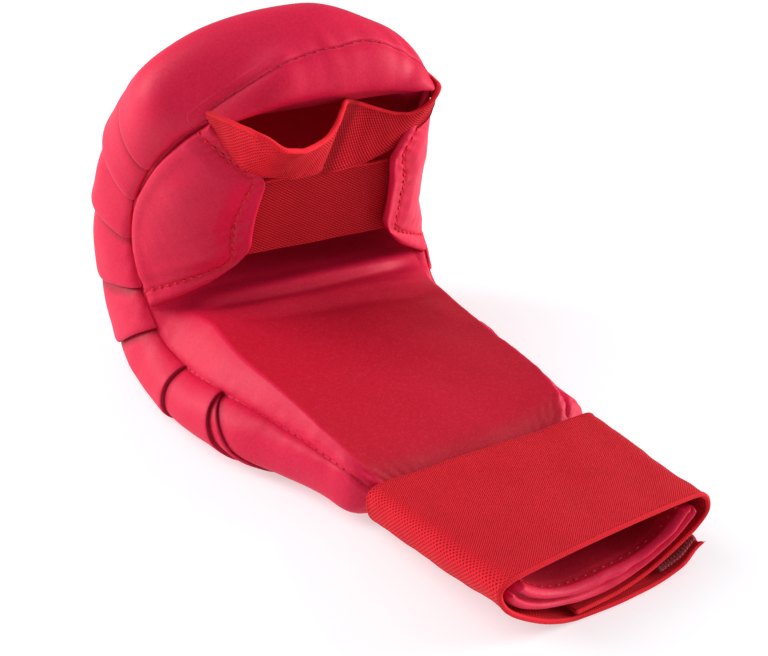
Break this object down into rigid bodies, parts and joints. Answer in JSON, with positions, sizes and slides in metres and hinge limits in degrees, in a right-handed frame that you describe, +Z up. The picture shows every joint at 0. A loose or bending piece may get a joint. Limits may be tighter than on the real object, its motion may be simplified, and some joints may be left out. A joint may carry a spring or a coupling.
{
  "type": "karate mitt",
  "caption": "Padded karate mitt for the left hand, with a curved fist pad, side cheeks, palm and finger elastics and a wide wrist elastic.",
  "frame": {"origin": "centre of the bounding box in X and Y, on the surface that the mitt lies on", "axes": "+Z up, +Y from the wrist mouth to the knuckles, +X towards the little finger's side; the mitt lies on its back with the palm side up"},
  "size_m": [0.1356, 0.248, 0.1428],
  "materials": {
    "leatherette": "satin red leatherette",
    "elastic": "matt red twill elastic",
    "hook": "matt dark red hook tape"
  },
  "bodies": {
    "root": {"padded_body": "leatherette", "cheek_left": "leatherette", "cheek_right": "leatherette", "palm_elastic": "elastic", "finger_strap": "elastic", "wrist_strap": "elastic", "hook_patch": "hook"}
  },
  "joints": []
}
